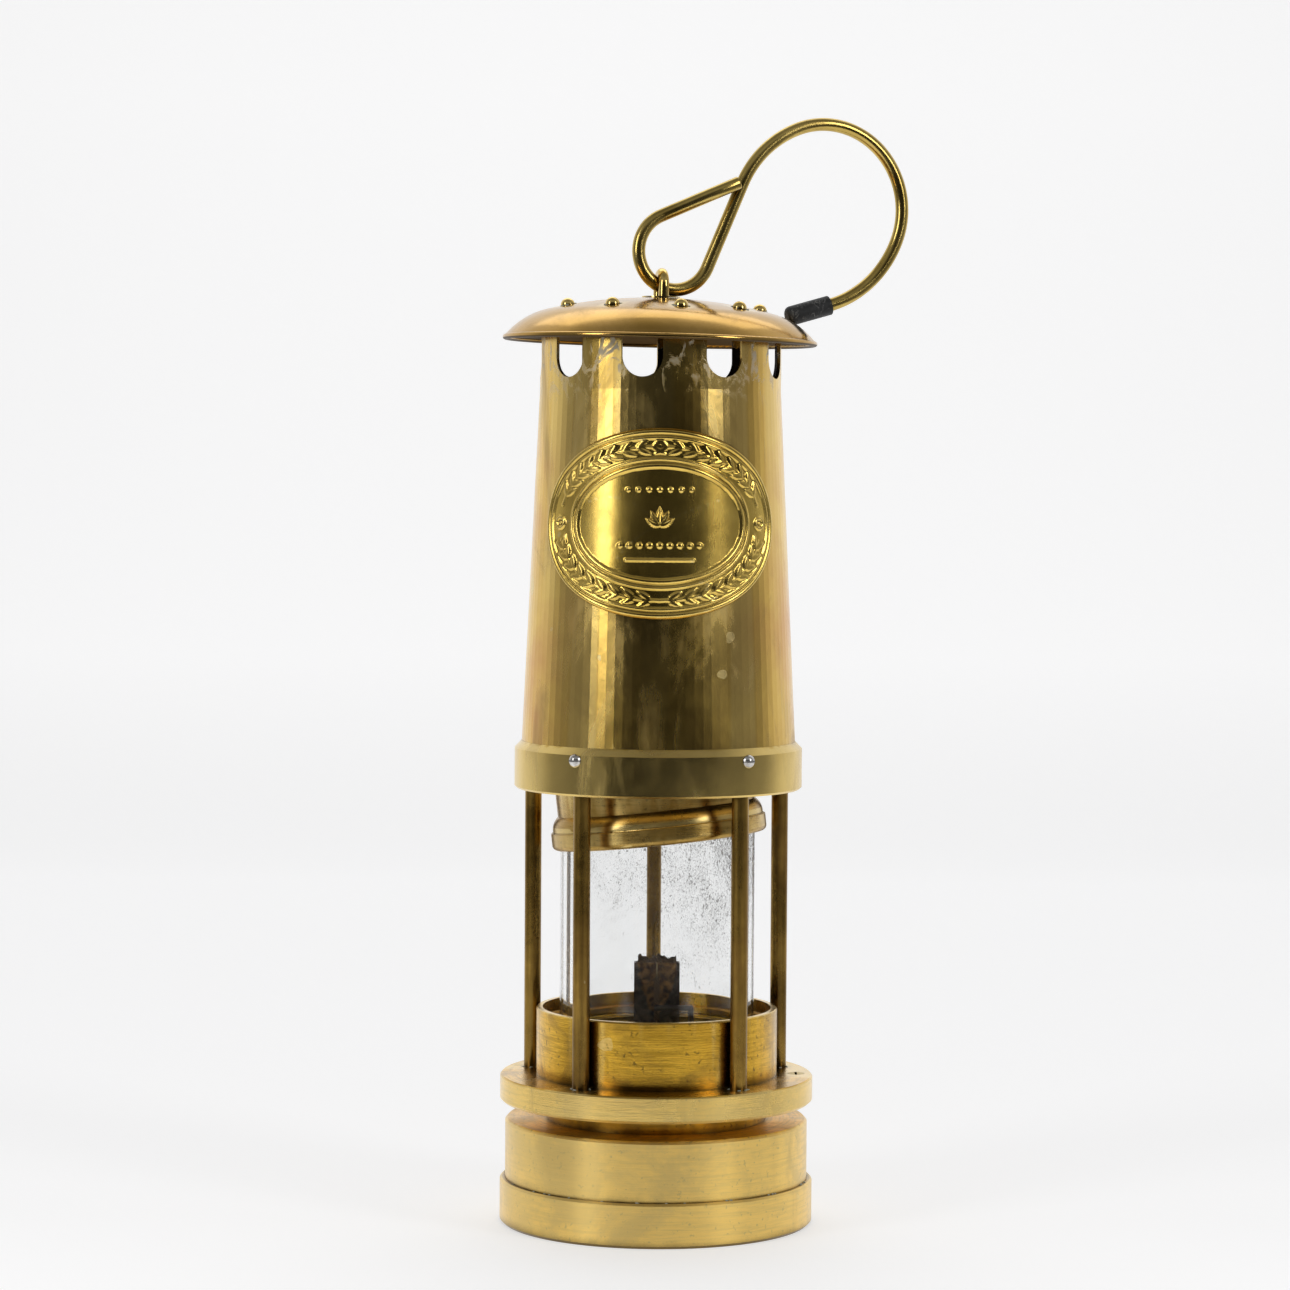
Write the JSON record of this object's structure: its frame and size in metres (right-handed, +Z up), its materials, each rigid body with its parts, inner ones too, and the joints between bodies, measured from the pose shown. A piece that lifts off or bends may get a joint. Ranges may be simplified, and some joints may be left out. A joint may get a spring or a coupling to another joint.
{
  "type": "flame safety lamp",
  "caption": "Brass oil lamp with a screw-on fuel vessel, pillar frame round a glass, gauzes in a vented bonnet, a domed hood and a hanging hook.",
  "frame": {"origin": "centre of the flat underside of the oil vessel, on the lamp's axis", "axes": "+Z up along the lamp's axis, -Y to the front, where the badge is, +X to the side that the hook leans to"},
  "size_m": [0.116, 0.089, 0.3146],
  "materials": {
    "brass_satin": "satin, brushed round, aged",
    "brass_vessel": "satin, brushed round, aged",
    "brass_bonnet": "polished, tarnished yellow-olive",
    "brass_badge": "polished embossed sheet",
    "brass_hood": "polished, pinkish gold",
    "brass_bright": "polished",
    "brass_carrier": "turned, dull",
    "brass_dark": "dark patina",
    "brass_wire": "drawn wire, aged",
    "steel": "bright",
    "rubber": "matte, dusty",
    "glass": "clear, soot specks",
    "gasket": "pressed fibre",
    "wick": "woven cotton, charred",
    "tube_heated": "heat-stained",
    "gauze": "woven steel gauze"
  },
  "bodies": {
    "frame": {"lower_ring": "brass_satin", "pillar_1": "brass_dark", "pillar_2": "brass_dark", "pillar_3": "brass_dark", "pillar_4": "brass_dark", "pillar_5": "brass_dark", "upper_ring": "brass_satin", "ring_screws": "steel", "bonnet": "brass_bonnet", "badge_plate": "brass_badge", "hood": "brass_hood", "hood_rivets": "brass_bright"},
    "lock": {"lock_bolt": "brass_dark"},
    "eye": {"swivel_eye": "brass_bright", "eye_washer": "brass_dark"},
    "hook": {"hook_wire": "brass_wire", "tip_sleeve": "rubber"},
    "glass_stack": {"glass": "glass", "lower_gasket": "gasket"},
    "vessel": {"base_cup": "brass_vessel", "vessel_shell": "brass_vessel", "burner_plate": "brass_dark", "wick_tube": "tube_heated", "filler_plug": "brass_dark", "filler_washer": "gasket", "pricker_tube": "brass_dark"},
    "pricker": {"pricker_wire": "steel", "pricker_knob": "brass_dark"},
    "wick": {"wick": "wick"},
    "gauze_carrier": {"carrier_band": "brass_carrier", "carrier_bell": "brass_carrier", "upper_gasket": "gasket", "gauze_ring": "brass_dark", "outer_gauze": "gauze", "inner_gauze": "gauze"}
  },
  "joints": [
    {"name": "eye_swivel", "type": "hinge", "parent": "frame", "child": "eye", "pos_m": [0, 0, 0.2622], "axis": [0.0192, 0, 0.9998], "continuous": true},
    {"name": "hook_swing", "type": "hinge", "parent": "eye", "child": "hook", "pos_m": [0.00376, 0.00137, 0.27537], "axis": [-0.342, 0.9397, 0], "range_deg": [-115, 0]},
    {"name": "lock_slide", "type": "slide", "parent": "frame", "child": "lock", "axis": [0, 0, -1], "range_m": [0, 0.0035]},
    {"name": "vessel_lift", "type": "slide", "parent": "frame", "child": "glass_stack", "axis": [0, 0, 1], "range_m": [-0.0052, 0.00495]},
    {"name": "vessel_screw", "type": "hinge", "parent": "glass_stack", "child": "vessel", "pos_m": [0, 0, 0.0295], "axis": [0, 0, 1], "range_deg": [-1060, 1010]},
    {"name": "pricker_slide", "type": "slide", "parent": "vessel", "child": "pricker", "axis": [0, 0, 1], "range_m": [-0.002, 0.004]},
    {"name": "wick_slide", "type": "slide", "parent": "vessel", "child": "wick", "axis": [0, 0, 1], "range_m": [-0.002, 0.004]},
    {"name": "gauze_level", "type": "hinge", "parent": "glass_stack", "child": "gauze_carrier", "pos_m": [-0.02606, 0.00923, 0.1125], "axis": [0.3338, 0.9426, 0], "range_deg": [0, 6.4]}
  ],
  "couplings": [
    {"joint": "vessel_lift", "follows": "vessel_screw", "m_per_rad": 0.00027852},
    {"joint": "wick_slide", "follows": "pricker_slide", "ratio": 1}
  ]
}
